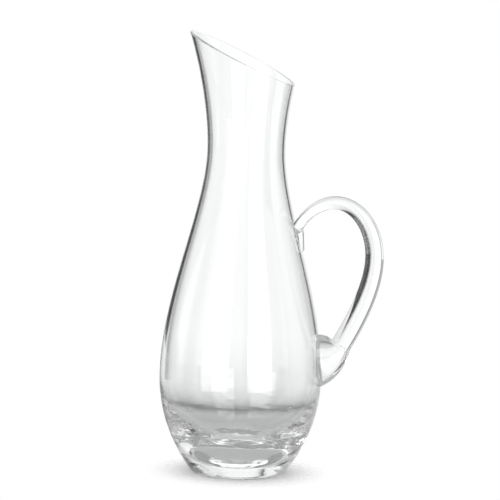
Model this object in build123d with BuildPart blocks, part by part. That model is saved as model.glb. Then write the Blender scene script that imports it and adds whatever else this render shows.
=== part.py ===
from build123d import *
import os

# A clear glass carafe, blown in a pear shape on a heavy base. Its mouth is cut on a slant, so that the
# side over the handle is low and the far side is a high pouring lip. The handle is a rod of glass drawn
# from a gob low on the body, looped up and pressed onto the shoulder.
# Millimetres. The origin is the centre of the foot, +Z is up, and the handle is on the +X side.

os.makedirs("parts", exist_ok=True)

# Outside of the vessel: radii from its axis, heights from the table
foot_radius = 31.9
heel_round = 5.0
belly_radius = 55.2
belly_height = 66.0
waist_radius = 26.6
waist_height = 220.0
lip_radius = 41.0
lip_height = 300.0

# How long the outline keeps its direction beside each of those places
foot_lean = (5.3, 7.6)
belly_fall = 36.0
belly_rise = 54.0
waist_fall = 41.0
waist_rise = 36.0
lip_lean = (1.4, 3.0)
moil_length = 9.0

# Glass thickness
wall = 2.5
neck_wall = 2.3
lip_wall = 2.0
base_thickness = 12.0
floor_spread = 30.0
floor_rise = 30.0

# Hollow ground into the underside, so that the carafe stands on a ring
punt_radius = 18.5
punt_depth = 1.2

# Slanted mouth, fire-polished
mouth_slope = 25.8
rim_round = 0.4 * lip_wall

# Handle: a rod that thickens from the shoulder down to the gob it was drawn from
root_height = 167.0
root_angle = 63.0
root_sink = 9.0
crown_height = 186.2
crown_reach = 26.5
back_height = 150.0
back_reach = 34.5
foot_height = 89.4
foot_reach = 12.9
foot_angle = 60.6
root_thickness = 7.6
rise_thickness = 8.0
crown_thickness = 8.7
bend_thickness = 11.2
back_thickness = 12.8
fall_thickness = 13.7
foot_thickness = 14.3
rod_flatness = 1.04

# How long the rod keeps its direction at each of those places
root_run = 10.0
crown_run_in = 12.0
crown_run_out = 15.0
back_run_in = 20.0
back_run_out = 22.0
foot_run = 15.0

# Tail left hanging where the rod was pressed on and sheared off
tail_height = 154.0
tail_top_radius = 2.6
tail_end_radius = 1.9
tail_stand = 0.6

# Gob of glass on the belly that carries the rod
pad_overlap = 0.4
pad_top = 96.5
pad_bottom = 58.5
pad_width = 19.0
pad_middle_reach = 6.2
pad_middle_height = 82.2
pad_middle_length = 29.2
pad_middle_lean = 75.5
pad_middle_width = 17.0
seat_depth = 7.0


# Solid form of the vessel, taller than the finished lip
with BuildPart() as vessel_form:
    with BuildSketch(Plane.XZ):
        with BuildLine():
            foot = (foot_radius, 0)
            belly = (belly_radius, belly_height)
            waist = (waist_radius, waist_height)
            lip = (lip_radius, lip_height)
            Bezier(
                foot,
                (foot_radius + foot_lean[0], foot_lean[1]),
                (belly_radius, belly_height - belly_fall),
                belly,
            )
            Bezier(
                belly,
                (belly_radius, belly_height + belly_rise),
                (waist_radius, waist_height - waist_fall),
                waist,
            )
            neck = Bezier(
                waist,
                (waist_radius, waist_height + waist_rise),
                (lip_radius - lip_lean[0], lip_height - lip_lean[1]),
                lip,
            )
            moil = Line(lip, neck @ 1 + (neck % 1) * moil_length)
            Polyline(moil @ 1, (0, (moil @ 1).Y), (0, 0), foot)
        make_face()
    revolve(axis=Axis.Z)
    fillet(vessel_form.edges().sort_by(Axis.Z)[0], heel_round)

# Blown vessel: the form with its cavity, its hollow underside and its slanted mouth
with BuildPart() as vessel:
    add(vessel_form.part)
    with BuildSketch(Plane.XZ):
        with BuildLine():
            inner_belly = (belly_radius - wall, belly_height)
            inner_waist = (waist_radius - neck_wall, waist_height)
            inner_lip = (lip_radius - lip_wall, lip_height)
            Bezier(
                (0, base_thickness),
                (floor_spread, base_thickness),
                (belly_radius - wall, belly_height - floor_rise),
                inner_belly,
            )
            Bezier(
                inner_belly,
                (belly_radius - wall, belly_height + belly_rise),
                (waist_radius - neck_wall, waist_height - waist_fall),
                inner_waist,
            )
            throat = Bezier(
                inner_waist,
                (waist_radius - neck_wall, waist_height + waist_rise),
                (lip_radius - lip_wall - lip_lean[0], lip_height - lip_lean[1]),
                inner_lip,
            )
            trim = Line(inner_lip, throat @ 1 + (throat % 1) * 2 * moil_length)
            Polyline(trim @ 1, (0, (trim @ 1).Y), (0, base_thickness))
        make_face()
    revolve(axis=Axis.Z, mode=Mode.SUBTRACT)
    with BuildSketch(Plane.XZ):
        with BuildLine():
            hollow = ThreePointArc((punt_radius, 0), (0, punt_depth), (-punt_radius, 0))
            Line(hollow @ 1, hollow @ 0)
        make_face()
        split(bisect_by=Plane.YZ)
    revolve(axis=Axis.Z, mode=Mode.SUBTRACT)
    mouth = Plane(origin=(-lip_radius, 0, lip_height), z_dir=Vector(0, 0, 1).rotate(Axis.Y, mouth_slope))
    split(bisect_by=mouth, keep=Keep.BOTTOM)
    rim = vessel.faces().sort_by(Axis.Z)[-1]
    fillet(rim.edges(), rim_round)
vessel.part.label = "vessel"
export_step(vessel.part, "parts/vessel.step")


def wall_radius(height):
    """Outer radius of the vessel at a height above the table."""
    level = Axis((0, 0, height), (1, 0, 0))
    return max(point.X for point, normal in vessel_form.part.find_intersection_points(level))


# Places on the centreline of the handle, in the plane of symmetry
root = Vector(wall_radius(root_height), 0, root_height)
crown = Vector(root.X + crown_reach, 0, crown_height)
back = Vector(belly_radius + back_reach, 0, back_height)
end = Vector(belly_radius + foot_reach, 0, foot_height)
root_course = Vector(1, 0, 0).rotate(Axis.Y, -root_angle)
end_course = Vector(-1, 0, 0).rotate(Axis.Y, -foot_angle)


def across(place, course):
    """Plane square to the rod at a place on its centreline."""
    return Plane(origin=place, x_dir=Vector(0, 1, 0), z_dir=course)


# Handle rod with its sheared tail
with BuildPart() as handle:
    with BuildLine() as centreline:
        Line(root - root_course * root_sink, root)
        rise = Bezier(root, root + root_course * root_run, crown - Vector(crown_run_in, 0, 0), crown)
        bend = Bezier(crown, crown + Vector(crown_run_out, 0, 0), back + Vector(0, 0, back_run_in), back)
        fall = Bezier(back, back - Vector(0, 0, back_run_out), end - end_course * foot_run, end)
    for place, course, thickness in (
        (root - root_course * root_sink, root_course, root_thickness),
        (rise @ 0.5, rise % 0.5, rise_thickness),
        (crown, Vector(1, 0, 0), crown_thickness),
        (bend @ 0.5, bend % 0.5, bend_thickness),
        (back, Vector(0, 0, -1), back_thickness),
        (fall @ 0.5, fall % 0.5, fall_thickness),
        (end, end_course, foot_thickness),
    ):
        with BuildSketch(across(place, course)):
            Ellipse(rod_flatness * thickness / 2, thickness / 2)
    sweep(path=centreline.wire(), multisection=True)
    tail_top = Vector(root.X + tail_top_radius, 0, root_height)
    tail_tip = Vector(wall_radius(tail_height) + tail_stand, 0, tail_height)
    drip = (tail_tip - tail_top).normalized()
    with BuildSketch(across(tail_top, drip)):
        Circle(tail_top_radius)
    with BuildSketch(across(tail_tip, drip)):
        Circle(tail_end_radius)
    loft()
    with Locations(tail_tip):
        Sphere(tail_end_radius)
    add(vessel_form.part, mode=Mode.SUBTRACT)
handle.part.label = "handle"
export_step(handle.part, "parts/handle.step")


# Gob on the belly: pressed against the glass, and drawn up and out into the rod
with BuildPart() as lower_seal_pad:
    middle = Vector(belly_radius + pad_middle_reach, 0, pad_middle_height)
    middle_course = Vector(-1, 0, 0).rotate(Axis.Y, pad_middle_lean - 90)
    seat = Vector(belly_radius - seat_depth, 0, (pad_top + pad_bottom) / 2)
    with BuildSketch(across(end, end_course)):
        Ellipse(rod_flatness * foot_thickness / 2 + pad_overlap, foot_thickness / 2 + pad_overlap)
    with BuildSketch(across(middle, middle_course)):
        Ellipse(pad_middle_width / 2, pad_middle_length / 2)
    with BuildSketch(across(seat, Vector(-1, 0, 0))):
        Ellipse(pad_width / 2, (pad_top - pad_bottom) / 2)
    loft()
    add(vessel_form.part, mode=Mode.SUBTRACT)
lower_seal_pad.part.label = "lower_seal_pad"
export_step(lower_seal_pad.part, "parts/lower_seal_pad.step")
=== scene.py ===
from functools import lru_cache
from math import atan2, cos, hypot, pi, radians, sin, tan

import bmesh
import bpy
from mathutils import Matrix, Vector


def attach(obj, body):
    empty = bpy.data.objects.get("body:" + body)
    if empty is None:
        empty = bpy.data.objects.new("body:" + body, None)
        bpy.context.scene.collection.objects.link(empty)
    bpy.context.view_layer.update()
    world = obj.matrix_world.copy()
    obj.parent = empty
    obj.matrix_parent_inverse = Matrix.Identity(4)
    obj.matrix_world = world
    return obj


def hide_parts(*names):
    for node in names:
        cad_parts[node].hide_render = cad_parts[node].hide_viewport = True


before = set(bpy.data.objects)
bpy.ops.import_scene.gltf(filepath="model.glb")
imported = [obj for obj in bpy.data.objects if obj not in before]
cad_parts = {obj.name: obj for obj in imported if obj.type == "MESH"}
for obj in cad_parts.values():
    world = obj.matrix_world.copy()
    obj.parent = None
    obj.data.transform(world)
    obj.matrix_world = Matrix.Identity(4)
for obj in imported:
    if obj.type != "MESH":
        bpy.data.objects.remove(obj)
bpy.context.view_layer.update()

MM = 0.001


# The camera is level with the mouth, a metre and a half away, with a long lens that keeps the carafe
# upright. It stands a little round to the handle's side, and is tipped a degree and a half.
camera_distance = 1558.6 * MM
camera_height = 291.5 * MM
camera_turn = radians(12.5)
camera_tip = radians(1.58)
camera_side = 4.2 * MM
camera_aim_height = 151.6 * MM
focal_length = 166.4
film_width = 36

lens = bpy.data.cameras.new("camera")
lens.lens = focal_length
lens.sensor_width = film_width
camera = bpy.data.objects.new("camera", lens)
bpy.context.collection.objects.link(camera)
bpy.context.scene.camera = camera
to_right = Vector((cos(camera_turn), sin(camera_turn), 0))
to_viewer = Vector((sin(camera_turn), -cos(camera_turn), 0))
camera.location = to_viewer * camera_distance + Vector((0, 0, camera_height))
aim = to_right * camera_side + Vector((0, 0, camera_aim_height))
camera.rotation_mode = "QUATERNION"
level = (aim - camera.location).to_track_quat("-Z", "Y")
camera.rotation_quaternion = level @ Matrix.Rotation(camera_tip, 4, "Z").to_quaternion()


# The room: a white studio lit evenly, with dark flags standing between bright panels all round. Clear
# glass shows only what it bends into view, so the flags draw its edges and the panels fill its middle.
# Windows show in reflections alone, and the background stays white behind the carafe.
room_level = 1.05
window_level = 4.0
# Bearings in degrees, anticlockwise from +Y, each with the brightness there
room_stops = ((-180, 1), (-168, 1), (-160, 0.35), (-152, 0.35), (-145, 1), (-125, 1), (-117, 0.35),
              (-105, 0.35), (-95, 0.9), (-70, 0.9), (-50, 0.4), (-24, 0.3), (-16, 0.7), (0, 0.97),
              (8, 1), (23, 1), (27.5, 0.7), (31, 0.05), (45, 0.05), (51, 0.45),
              (70, 0.4), (79, 1), (101, 1), (109, 0.35), (121, 0.35), (130, 1), (180, 1))
ceiling_stops = ((-180, 0.8), (-60, 0.12), (-36, 0.12), (-26, 0.9), (52, 0.9), (64, 0.12), (110, 0.12),
                 (150, 0.8), (180, 0.8))
window_stops = ((-157.6, 0), (-157.4, 1), (-123.6, 1), (-123.4, 0), (135.4, 0), (135.6, 1), (175.4, 1),
                (175.6, 0))
# Degrees above the horizon, each with the brightness of the backdrop, the table and the ceiling there. The
# table's darkening below the horizon is painted shade, which only the glass shows
height_stops_with_painted_shade = ((-90, 0.5), (-56, 0.45), (-47, 0.52), (-41, 0.38), (-36, 0.3), (-32, 0.22), (-28.5, 0.42),
                (-26, 0.55), (-23, 0.62), (-19, 0.72), (-15, 0.78), (-12.3, 0.85), (-11, 0.95), (-9, 1),
                (0, 1), (44, 0.9), (57, 0.3), (90, 0.2))
# Degrees above the horizon where the flags give way to the table, and then to the ceiling
flags_to_table = (-12, -28)
flags_to_ceiling = (14, 32)
# Degrees above the horizon where the windows begin, and where they are whole
window_sill = (-13.5, -12.5)
window_head = (26, 25)


def colour(hex_code):
    """An sRGB hex colour as the linear one that a shader takes."""
    channels = [int(hex_code[i:i + 2], 16) / 255 for i in (0, 2, 4)]
    linear = [c / 12.92 if c <= 0.04045 else ((c + 0.055) / 1.055) ** 2.4 for c in channels]
    return (*linear, 1)


def add_node(tree, kind, settings=None, **inputs):
    """Adds a node, with its settings and with each input set to a value or linked to a socket."""
    node = tree.nodes.new("ShaderNode" + kind)
    for name, value in (settings or {}).items():
        setattr(node, name, value)
    for name, value in inputs.items():
        key = int(name[1:]) if name[1:].isdigit() else name.replace("_", " ")
        if isinstance(value, bpy.types.NodeSocket):
            tree.links.new(value, node.inputs[key])
        else:
            node.inputs[key].default_value = value
    return node


def maths(tree, operation, *values):
    """The result of a Math node for one or two sockets or numbers."""
    inputs = {f"_{i}": value for i, value in enumerate(values)}
    return add_node(tree, "Math", {"operation": operation}, **inputs).outputs[0]


def product(tree, *factors):
    """A socket for the product of sockets and numbers."""
    total = factors[0]
    for factor in factors[1:]:
        total = maths(tree, "MULTIPLY", total, factor)
    return total


def passage(tree, value, start, end, low=0.0, high=1.0, kind="LINEAR"):
    """How far a socket has come from start to end, as a number that goes from low to high."""
    return add_node(tree, "MapRange", {"interpolation_type": kind}, Value=value, From_Min=start,
                    From_Max=end, To_Min=low, To_Max=high).outputs[0]


def scaled(tree, grey, factor):
    """A colour made brighter or darker by a socket or a number."""
    return add_node(tree, "VectorMath", {"operation": "SCALE"}, _0=grey, Scale=factor).outputs[0]


def mixed(tree, share, first, second):
    """The first colour where the share is 0 and the second where it is 1."""
    return add_node(tree, "MixRGB", Fac=share, Color1=first, Color2=second).outputs[0]


def ramp(tree, share, stops, low, high):
    """A grey ramp along a share from 0 to 1, through (place, level) stops with places from low to high."""
    node = add_node(tree, "ValToRGB", Fac=share)
    # A new ramp has a stop at each end. They come out again, so the others stay just off the ends.
    nearest = 0.0001
    for place, level in stops:
        way = (place - low) / (high - low)
        stop = node.color_ramp.elements.new(min(max(way, nearest), 1 - nearest))
        stop.color = (level, level, level, 1)
    node.color_ramp.elements.remove(node.color_ramp.elements[0])
    node.color_ramp.elements.remove(node.color_ramp.elements[-1])
    return node.outputs["Color"]


def bearing_share(tree, split):
    """The bearing of a separated vector, from 0 at -180 degrees to 1 at 180."""
    west = maths(tree, "MULTIPLY", split.outputs["X"], -1.0)
    return passage(tree, maths(tree, "ARCTAN2", west, split.outputs["Y"]), -pi, pi)


white = (1, 1, 1, 1)
world = bpy.data.worlds.new("studio")
bpy.context.scene.world = world
world.use_nodes = True
tree = world.node_tree
tree.nodes.clear()
split = add_node(tree, "SeparateXYZ", Vector=add_node(tree, "TexCoord").outputs["Generated"])
bearing = bearing_share(tree, split)
lift = maths(tree, "ARCSINE", split.outputs["Z"])
height = passage(tree, lift, -pi / 2, pi / 2)
to_table = passage(tree, lift, *[radians(a) for a in flags_to_table], kind="SMOOTHSTEP")
to_ceiling = passage(tree, lift, *[radians(a) for a in flags_to_ceiling], kind="SMOOTHSTEP")
room = mixed(tree, to_table, ramp(tree, bearing, room_stops, -180, 180), white)
room = mixed(tree, to_ceiling, room, ramp(tree, bearing, ceiling_stops, -180, 180))
heights_with_painted_shade = ramp(tree, height, height_stops_with_painted_shade, -90, 90)
room = add_node(tree, "VectorMath", {"operation": "MULTIPLY"}, _0=room, _1=heights_with_painted_shade).outputs[0]
room = scaled(tree, room, room_level)
path = add_node(tree, "LightPath")
window = product(tree, passage(tree, lift, *[radians(a) for a in window_sill]),
                 passage(tree, lift, *[radians(a) for a in window_head]),
                 ramp(tree, bearing, window_stops, -180, 180), path.outputs["Is Glossy Ray"])
room = mixed(tree, window, room, (window_level, window_level, window_level, 1))
in_glass = maths(tree, "MAXIMUM", path.outputs["Is Transmission Ray"], path.outputs["Is Glossy Ray"])
light = add_node(tree, "Background", Color=mixed(tree, in_glass, white, room), Strength=1.0)
add_node(tree, "OutputWorld", Surface=light.outputs[0])


# The cards: white and black boards on a ring close round the carafe, glowing as painted light. They show
# only through its glass, and where the ring is open the glass shows the room behind them.
cards_radius = 0.32
cards_height = 0.8
cards_sides = 96
# Painted shade: the cards are a little darker at the table, up to this height
card_painted_shade_height = 0.06
card_painted_shade_level = 0.82
# Bearings in degrees, as in the room, each with the brightness of the cards there
card_stops = ((-180, 0.9), (-162, 0.9), (-158, 0.1), (-150, 0.1), (-145, 1), (-122, 1), (-114, 0.1),
              (-96, 0.1), (-88, 0.8), (-70, 0.8), (-60, 0.02), (-26, 0.02), (-22, 0.35), (-17.5, 0.72),
              (-6, 0.88), (3, 0.98), (6, 1), (26, 1), (28.5, 0.85), (31, 0.6), (33.5, 0.15), (66, 0.1),
              (76, 1), (104, 1), (112, 0.1), (124, 0.1), (132, 0.9), (180, 0.9))
# Bearings in degrees, each with 1 where a card stands and 0 where the ring is open
card_gaps = ((-180, 1), (-170, 1), (-169, 0), (-101, 0), (-100, 1), (36, 1), (37, 0), (70, 0), (71, 1),
             (130, 1), (131, 0), (180, 0))


def new_finish(name):
    """A material with nothing in it yet, and its node tree."""
    finish = bpy.data.materials.new(name)
    finish.use_nodes = True
    finish.node_tree.nodes.clear()
    return finish, finish.node_tree


def stage_sheet(name, bm, finish):
    """A part of the set, which isn't a piece of the carafe."""
    mesh = bpy.data.meshes.new(name)
    bm.to_mesh(mesh)
    bm.free()
    mesh.materials.append(finish)
    sheet = bpy.data.objects.new(name, mesh)
    bpy.context.collection.objects.link(sheet)


# Painted light: the boards glow as bright as the light on them would be
painted_light_boards, tree = new_finish("painted_light_cards")
split = add_node(tree, "SeparateXYZ", Vector=add_node(tree, "TexCoord").outputs["Object"])
bearing = bearing_share(tree, split)
shade = passage(tree, split.outputs["Z"], 0.0, card_painted_shade_height, card_painted_shade_level, kind="SMOOTHSTEP")
shade = scaled(tree, scaled(tree, ramp(tree, bearing, card_stops, -180, 180), shade), room_level)
painted_glow = add_node(tree, "Emission", Color=shade)
clear = add_node(tree, "BsdfTransparent")
path = add_node(tree, "LightPath")
seen = product(tree, ramp(tree, bearing, card_gaps, -180, 180), path.outputs["Is Transmission Ray"])
surface = add_node(tree, "MixShader", _0=seen, _1=clear.outputs[0], _2=painted_glow.outputs[0])
add_node(tree, "OutputMaterial", Surface=surface.outputs[0])

bm = bmesh.new()
bmesh.ops.create_circle(bm, cap_ends=False, segments=cards_sides, radius=cards_radius)
top = bmesh.ops.extrude_edge_only(bm, edges=bm.edges[:])["geom"]
bmesh.ops.translate(bm, verts=[item for item in top if isinstance(item, bmesh.types.BMVert)],
                    vec=(0, 0, cards_height))
stage_sheet("ring_of_painted_light_cards", bm, painted_light_boards)


# The paper: the white sheet that the carafe stands on. Its middle takes the soft shadow and fades into
# the white round it. Through the glass the sheet glows instead, with painted shade that darkens it near
# the carafe.
paper_radius = 1.2
paper_sides = 96
shadow_reach = (0.028, 0.066)
# Millimetres from the axis, each with the brightness of the sheet there as the glass shows it: painted
# shade
painted_shade_table_stops = ((0, 0.45), (58, 0.47), (76, 0.5), (92, 0.36), (104, 0.2), (112, 0.26), (126, 0.44),
               (145, 0.56), (165, 0.63), (200, 0.71), (260, 0.77), (320, 0.82), (420, 0.88), (600, 0.96),
               (800, 1), (1200, 1))

# Matt paper
paper, tree = new_finish("white_paper_sweep")
place = add_node(tree, "TexCoord").outputs["Object"]
spread = add_node(tree, "VectorMath", {"operation": "LENGTH"}, Vector=place).outputs["Value"]
fade = passage(tree, spread, *shadow_reach, kind="SMOOTHSTEP")
matt = add_node(tree, "BsdfDiffuse", Color=colour("FEFEFE"))
clear = add_node(tree, "BsdfTransparent")
sheet = add_node(tree, "MixShader", _0=fade, _1=matt.outputs[0], _2=clear.outputs[0])
painted_table_shade = ramp(tree, passage(tree, spread, 0.0, paper_radius), painted_shade_table_stops, 0, paper_radius / MM)
# Painted shade: rays through the glass see the sheet glow, darker near the carafe, in place of the lit
# paper
painted_glow = add_node(tree, "Emission", Color=painted_table_shade, Strength=room_level)
through_glass = add_node(tree, "LightPath").outputs["Is Transmission Ray"]
sheet = add_node(tree, "MixShader", _0=through_glass, _1=sheet.outputs[0], _2=painted_glow.outputs[0])
add_node(tree, "OutputMaterial", Surface=sheet.outputs[0])

bm = bmesh.new()
bmesh.ops.create_circle(bm, cap_ends=True, segments=paper_sides, radius=paper_radius)
stage_sheet("paper_sweep", bm, paper)


# The vessel: colourless soda-lime glass blown in a pear shape, with a heavy solid bottom. The neck was
# cut on a slant and its edge melted round in the flame, and the foot was ground to stand on a ring.
foot_radius = 31.9
heel_round = 5.0
punt_radius = 18.5
punt_depth = 1.2
belly_radius = 55.2
belly_height = 66.0
waist_radius = 26.6
waist_height = 220.0
lip_radius = 41.0
lip_height = 300.0
mouth_slope = radians(25.8)
foot_lean = (5.3, 7.6)
lip_lean = (1.4, 3.0)
belly_fall = 36.0
belly_rise = 54.0
waist_fall = 41.0
waist_rise = 36.0
wall = 2.5
neck_wall = 2.3
lip_wall = 2.0
base_thickness = 12.0
floor_spread = 30.0
floor_rise = 30.0
rim_clearance = 1.8
turns = 192
# Steps along each part of the section
hollow_steps = 12
heel_steps = 8
lower_steps = 56
upper_steps = 90
neck_steps = 60
rim_steps = 12
inner_steps = 80
# Where the wall leaves the heel, as a share of its curve, so that two points don't fall together
heel_gap = 0.02
# Edges that turn more than this are left sharp
crease = radians(40)
# The floor's waves and rings: their spacing, their depth and the heights where they grow and fade
wave_size = 13
wave_depth = 0.3
wave_flatness = 2.4
waves_fade = (56, 34)
ring_spacing = 7
ring_depth = 0.035
rings_fade = (24, 16)
marks_grow = (9, 13)
# Painted light: the glass glows in streaks after this many reflections, and how bright its streaks are
painted_glow_after = 3.5
glow_streak_size = 7
glow_streak_levels = (0.08, 0.4)


def curve(a, b, c, d, t):
    """The point at t on the cubic curve from a to d that b and c pull."""
    weights = ((1 - t) ** 3, 3 * t * (1 - t) ** 2, 3 * t * t * (1 - t), t ** 3)
    return Vector([sum(w * p[k] for w, p in zip(weights, (a, b, c, d))) for k in range(len(a))])


def trace(pull, steps, start=0.0):
    """Points along a cubic curve, leaving out its last one."""
    return [curve(*pull, start + (1 - start) * i / steps) for i in range(steps)]


def solve(rise, low, high):
    """The value between low and high where a rising function passes zero."""
    halvings = 28
    for _ in range(halvings):
        middle = (low + high) / 2
        low, high = (low, middle) if rise(middle) > 0 else (middle, high)
    return (low + high) / 2


lower = ((foot_radius, 0), (foot_radius + foot_lean[0], foot_lean[1]),
         (belly_radius, belly_height - belly_fall), (belly_radius, belly_height))
upper = ((belly_radius, belly_height), (belly_radius, belly_height + belly_rise),
         (waist_radius, waist_height - waist_fall), (waist_radius, waist_height))
neck = ((waist_radius, waist_height), (waist_radius, waist_height + waist_rise),
        (lip_radius - lip_lean[0], lip_height - lip_lean[1]), (lip_radius, lip_height))
bowl = ((0, base_thickness), (floor_spread, base_thickness),
        (belly_radius - wall, belly_height - floor_rise), (belly_radius - wall, belly_height))


def inwards(pull, low, high):
    """A cubic curve moved towards the axis, by low at its start and by high at its end."""
    return tuple((r - gap, z) for (r, z), gap in zip(pull, (low, low, high, high)))


@lru_cache(maxsize=None)
def outside(height):
    """Outer radius of the neck at a height between the waist and the lip."""
    t = solve(lambda u: curve(*neck, u)[1] - height, 0, 1)
    return curve(*neck, t)[0]


@lru_cache(maxsize=None)
def mouth_height(bearing):
    """Height of the slanted cut where the wall stands at a bearing round the axis."""
    def above(height):
        drop = (outside(height) * cos(bearing) + lip_radius) * tan(mouth_slope)
        return height - lip_height + rim_clearance + drop
    return solve(above, waist_height, lip_height)


def set_creases(bm):
    """Leaves the shading smooth except along sharp edges."""
    for edge in bm.edges:
        edge.smooth = edge.calc_face_angle(0) < crease


def new_piece(name, bm, *finishes):
    """An object at the origin made of a bmesh, shaded smooth except along its sharp edges."""
    bmesh.ops.remove_doubles(bm, verts=bm.verts, dist=1e-7)
    bmesh.ops.recalc_face_normals(bm, faces=bm.faces)
    for face in bm.faces:
        face.smooth = True
    set_creases(bm)
    mesh = bpy.data.meshes.new(name)
    bm.to_mesh(mesh)
    bm.free()
    for finish in finishes:
        mesh.materials.append(finish)
    piece = bpy.data.objects.new(name, mesh)
    bpy.context.collection.objects.link(piece)
    return piece


def spun(points):
    """A bmesh turned on the axis from (radius, height) points that start and end on it."""
    bm = bmesh.new()
    ring = [bm.verts.new((r * MM, 0, z * MM)) for r, z in points]
    edges = [bm.edges.new(pair) for pair in zip(ring, ring[1:])]
    bmesh.ops.spin(bm, geom=ring + edges, cent=(0, 0, 0), axis=(0, 0, 1), dvec=(0, 0, 0),
                   angle=2 * pi, steps=turns, use_merge=True)
    bmesh.ops.remove_doubles(bm, verts=bm.verts, dist=1e-6)
    return bm


# Foot: a shallow hollow, the ring that it stands on, and a round heel that leads into the wall
heel_tilt = atan2(foot_lean[1], foot_lean[0])
ring_radius = foot_radius - heel_round * tan(heel_tilt / 2)
dish_radius = (punt_radius ** 2 + punt_depth ** 2) / (2 * punt_depth)
hollow = [punt_radius * i / hollow_steps for i in range(hollow_steps)]
foot_points = [(r, punt_depth - dish_radius + (dish_radius ** 2 - r ** 2) ** 0.5) for r in hollow]
foot_points += [(punt_radius, 0), ((punt_radius + ring_radius) / 2, 0)]
heel = [heel_tilt * i / heel_steps for i in range(heel_steps + 1)]
foot_points += [(ring_radius + heel_round * sin(a), heel_round * (1 - cos(a))) for a in heel]
wall_start = solve(lambda t: curve(*lower, t)[1] - foot_points[-1][1], 0, 1) + heel_gap

rim_middle = lip_radius - lip_wall / 2
rim = [(rim_middle + lip_wall / 2 * cos(a), lip_height + lip_wall / 2 * sin(a))
       for a in [pi * i / rim_steps for i in range(rim_steps + 1)]]
outer_side = trace(lower, lower_steps, wall_start) + trace(upper, upper_steps) + trace(neck, neck_steps)
inner_side = (trace(bowl, inner_steps) + trace(inwards(upper, wall, neck_wall), inner_steps)
              + trace(inwards(neck, neck_wall, lip_wall), neck_steps))
bm = spun(foot_points + outer_side + rim + inner_side[::-1])
# The neck is drawn down to the slanted cut, and each ring keeps the wall's curve at its new height
for vert in bm.verts:
    height = vert.co.z / MM
    if height <= waist_height:
        continue
    radius = hypot(vert.co.x, vert.co.y) / MM
    bearing = round(abs(atan2(vert.co.y, vert.co.x)), 5)
    top = mouth_height(bearing)
    row = round(min(height, lip_height), 4)
    lowered = waist_height + (row - waist_height) * (top - waist_height) / (lip_height - waist_height)
    grown = (radius + outside(lowered) - outside(row)) / radius
    vert.co = (vert.co.x * grown, vert.co.y * grown, (lowered + max(height - lip_height, 0)) * MM)


def clear_glass(name, ripple_size, ripple_depth, floor_marks=False):
    """Colourless glass with the faint ripples of a surface that set without a mould touching it, and with
    the waves and rings that a blown vessel has inside its thick floor. Sizes are in millimetres."""
    finish, tree = new_finish(name)
    place = add_node(tree, "TexCoord").outputs["Object"]

    def noise(vector, size, detail, roughness):
        spots = add_node(tree, "TexNoise", Vector=vector, Scale=1 / (size * MM), Detail=detail,
                         Roughness=roughness)
        return spots.outputs["Fac"]

    relief = product(tree, noise(place, ripple_size, 1.5, 0.4), ripple_depth)
    if floor_marks:
        split = add_node(tree, "SeparateXYZ", Vector=place)
        flat = add_node(tree, "CombineXYZ", X=split.outputs["X"], Y=split.outputs["Y"]).outputs[0]
        radius = add_node(tree, "VectorMath", {"operation": "LENGTH"}, Vector=flat).outputs["Value"]
        above, under_waves, under_rings = [
            passage(tree, split.outputs["Z"], start * MM, end * MM)
            for start, end in (marks_grow, waves_fade, rings_fade)]
        level = add_node(tree, "VectorMath", {"operation": "MULTIPLY"},
                         _0=place, _1=(1, 1, wave_flatness)).outputs[0]
        waves = product(tree, noise(level, wave_size, 1.5, 0.4), above, under_waves, wave_depth)
        rings = maths(tree, "SINE", product(tree, radius, 2 * pi / (ring_spacing * MM)))
        rings = product(tree, rings, above, under_rings, ring_depth)
        relief = maths(tree, "ADD", maths(tree, "ADD", relief, waves), rings)
    bump = add_node(tree, "Bump", Height=relief, Distance=MM, Strength=1.0)
    # Painted light: after several reflections the glass glows in faint noisy streaks
    reflections = add_node(tree, "LightPath").outputs["Glossy Depth"]
    painted_glow_share = maths(tree, "GREATER_THAN", reflections, painted_glow_after)
    painted_glow_streaks = passage(tree, noise(place, glow_streak_size, 3.0, 0.55), 0.35, 0.65, *glow_streak_levels)
    glass = add_node(tree, "BsdfPrincipled", Base_Color=colour("FDFEFE"), Roughness=0.0, IOR=1.52,
                     Transmission_Weight=1.0, Normal=bump.outputs["Normal"],
                     Emission_Color=white, Emission_Strength=product(tree, painted_glow_streaks, painted_glow_share))
    add_node(tree, "OutputMaterial", Surface=glass.outputs[0])
    return finish


# Blown soda-lime glass, fire-polished inside and out
blown = clear_glass("blown_soda_lime_glass", ripple_size=24, ripple_depth=0.03, floor_marks=True)
vessel = new_piece("vessel_glass", bm, blown)
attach(vessel, "root")
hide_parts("vessel")


# The handle: a rod drawn out of a hot gather, looped up and over, and pressed onto the shoulder. Its end
# was sheared off and hangs as a short tail. Where it is fused to other glass there is no surface left.
seat_sink = 0.5
root_height = 167.0
root_angle = radians(63.0)
root_sink = 9.0
root_run = 10.0
crown = (62.3, 186.2)
crown_runs = (12.0, 15.0)
back = (89.7, 150.0)
back_runs = (20.0, 22.0)
rod_end = (68.1, 89.4)
rod_end_angle = radians(60.6)
rod_end_run = 15.0
# Rod thickness, and where it is on the four spans from the hidden start to the foot: start, root, rise,
# crown, bend, back, fall and foot
rod_thickness = (7.6, 7.6, 8.0, 8.7, 11.2, 12.8, 13.7, 14.3)
rod_stations = (0, 1, 1.5, 2, 2.5, 3, 3.5, 4)
rod_flatness = 1.04
rod_sides = 72
span_steps = 36
blend_steps = 9
tail_height = 154.0
tail_radii = (2.6, 1.9)
tail_stand = 0.6
tail_sides = 32
tail_steps = 6
tail_end_steps = 8
# The rod's foot is the one face that looks this nearly along its end and is larger than this many square
# millimetres
end_face_turn = 0.999
end_face_area = 50


def shoulder(height):
    """Outer radius of the vessel between the belly and the waist."""
    t = solve(lambda u: curve(*upper, u)[1] - height, 0, 1)
    return curve(*upper, t)[0]


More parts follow.
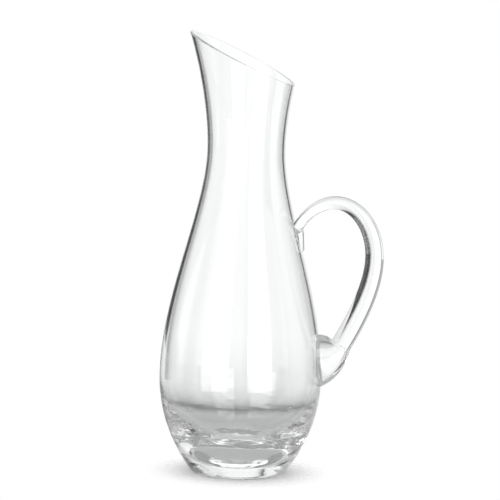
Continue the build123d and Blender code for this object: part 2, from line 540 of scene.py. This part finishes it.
def hoop(place, way, wide, thick):
    """The matrix that takes a unit circle to a section of the glass across its way in the XZ plane."""
    way = Vector(way).normalized()
    turned = Matrix(((0, -way[1], way[0]), (1, 0, 0), (0, way[0], way[1]))).to_4x4()
    size = Matrix.Diagonal((wide / 2 * MM, thick / 2 * MM, MM, 1))
    return Matrix.Translation(Vector((place[0], 0, place[1])) * MM) @ turned @ size


def drawn(hoops, sides=rod_sides):
    """A bmesh with closed ends that runs through hoops."""
    bm = bmesh.new()
    bmesh.ops.create_circle(bm, cap_ends=False, segments=sides, radius=1, matrix=hoops[0])
    edges = bm.edges[:]
    for before, after in zip(hoops, hoops[1:]):
        grown = bmesh.ops.extrude_edge_only(bm, edges=edges)["geom"]
        verts = [item for item in grown if isinstance(item, bmesh.types.BMVert)]
        edges = [item for item in grown if isinstance(item, bmesh.types.BMEdge)]
        bmesh.ops.transform(bm, verts=verts, matrix=after @ before.inverted())
    bmesh.ops.holes_fill(bm, edges=bm.edges, sides=0)
    return bm


def carve(piece, tool, operation, finish=None):
    """Cuts or joins another piece to this one, and gives the faces that the cut leaves that finish."""
    spare = tool.copy()
    spare.data = tool.data.copy()
    bpy.context.collection.objects.link(spare)
    if finish:
        spare.data.materials.clear()
        spare.data.materials.append(finish)
        spare.data.polygons.foreach_set("material_index", [0] * len(spare.data.polygons))
    step = piece.modifiers.new("carve", "BOOLEAN")
    step.operation = operation
    step.solver = "EXACT"
    step.object = spare
    step.material_mode = "TRANSFER"
    carved = bpy.data.meshes.new_from_object(piece.evaluated_get(bpy.context.evaluated_depsgraph_get()))
    piece.modifiers.clear()
    piece.data = carved
    bpy.data.objects.remove(spare)
    bm = bmesh.new()
    bm.from_mesh(carved)
    set_creases(bm)
    bm.to_mesh(carved)
    bm.free()


# Glass fused to glass, which has no surface between the two and shows nothing
fused, tree = new_finish("fused_glass_joint")
through = add_node(tree, "BsdfTransparent")
add_node(tree, "OutputMaterial", Surface=through.outputs[0])

root = (shoulder(root_height), root_height)
root_way = Vector((cos(root_angle), sin(root_angle)))
end_way = Vector((-cos(rod_end_angle), -sin(rod_end_angle)))
spans = (
    (Vector(root) - root_way * root_sink, Vector(root) - root_way * root_sink * 2 / 3,
     Vector(root) - root_way * root_sink / 3, root),
    (root, Vector(root) + root_way * root_run, (crown[0] - crown_runs[0], crown[1]), crown),
    (crown, (crown[0] + crown_runs[1], crown[1]), (back[0], back[1] + back_runs[0]), back),
    (back, (back[0], back[1] - back_runs[1]), Vector(rod_end) - end_way * rod_end_run,
     Vector(rod_end) + end_way * seat_sink),
)
course = [point for span in spans for point in trace(span, span_steps)] + [spans[-1][-1]]
keys = [int(span_steps * station) for station in rod_stations]
widths = []
for i in range(len(course)):
    k = max(j for j, key in enumerate(keys[:-1]) if key <= i)
    share = (i - keys[k]) / (keys[k + 1] - keys[k])
    widths.append(rod_thickness[k] * (1 - share) + rod_thickness[k + 1] * share)
nearby = [widths[max(i - blend_steps, 0):i + blend_steps + 1] for i in range(len(widths))]
widths = [sum(near) / len(near) for near in nearby]
ways = [root_way] + [after - before for before, after in zip(course, course[2:])] + [end_way]
rod = [hoop(place, way, rod_flatness * width, width) for place, way, width in zip(course, ways, widths)]

# Drawn soda-lime glass, with the smaller ripples of a rod that was pulled by hand
drawn_glass = clear_glass("drawn_soda_lime_glass", ripple_size=14, ripple_depth=0.03)
handle = new_piece("handle_glass", drawn(rod), drawn_glass, fused)
tail_place = Vector((root[0] + tail_radii[0], root_height))
tail_tip = Vector((shoulder(tail_height) + tail_stand, tail_height))
tail_way = (tail_tip - tail_place).normalized()
tail_hoops = []
for i in range(tail_steps):
    size = 2 * (tail_radii[0] + (tail_radii[1] - tail_radii[0]) * i / tail_steps)
    tail_hoops.append(hoop(tail_place.lerp(tail_tip, i / tail_steps), tail_way, size, size))
for i in range(tail_end_steps):
    angle = pi / 2 * i / tail_end_steps
    size = 2 * tail_radii[1] * cos(angle)
    tail_hoops.append(hoop(tail_tip + tail_way * tail_radii[1] * sin(angle), tail_way, size, size))
tail = new_piece("sheared_tail", drawn(tail_hoops, tail_sides), drawn_glass)
carve(handle, tail, "UNION")
bpy.data.objects.remove(tail)

sunk = [(r - seat_sink, z) for r, z in trace(lower, lower_steps, wall_start) + trace(upper, upper_steps)]
seat = new_piece("seat_form", spun([(0, 0)] + sunk + [(0, waist_height)]), fused)
carve(handle, seat, "DIFFERENCE", fused)
fused_slot = handle.data.materials.find(fused.name)
for face in handle.data.polygons:
    along = face.normal.dot(Vector((end_way[0], 0, end_way[1])))
    if along > end_face_turn and face.area > end_face_area * MM * MM:
        face.material_index = fused_slot
carve(vessel, handle, "DIFFERENCE", fused)
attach(handle, "root")
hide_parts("handle")


# The lower seal: the gather of hot glass that was stuck to the belly first, and that the rod was drawn
# from. It is widest against the wall and draws in to the rod, where a crease shows.
gob_overlap = 0.4
gob_top = 96.5
gob_bottom = 58.5
gob_width = 19.0
gob_middle = (belly_radius + 6.2, 82.2)
gob_middle_length = 29.2
gob_middle_width = 17.0
gob_middle_lean = radians(14.5)
gob_depth = 7.0
gob_steps = 48

first = hoop(rod_end, end_way, rod_flatness * rod_thickness[-1] + 2 * gob_overlap,
             rod_thickness[-1] + 2 * gob_overlap)
gob_way = (-cos(gob_middle_lean), -sin(gob_middle_lean))
middle = hoop(gob_middle, gob_way, gob_middle_width, gob_middle_length)
gob_root = (belly_radius - gob_depth, (gob_top + gob_bottom) / 2)
last = hoop(gob_root, (-1, 0), gob_width, gob_top - gob_bottom)
hoops = []
for t in [i / gob_steps for i in range(gob_steps + 1)]:
    hoops.append(first * ((1 - t) * (1 - 2 * t)) + middle * (4 * t * (1 - t)) + last * (t * (2 * t - 1)))
gob = new_piece("lower_seal_glass", drawn(hoops), drawn_glass, fused)
carve(gob, handle, "DIFFERENCE", fused)
carve(gob, seat, "DIFFERENCE", fused)
carve(vessel, gob, "DIFFERENCE", fused)
bpy.data.objects.remove(seat)
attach(gob, "root")
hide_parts("lower_seal_pad")


bpy.context.scene.view_settings.view_transform = "Standard"
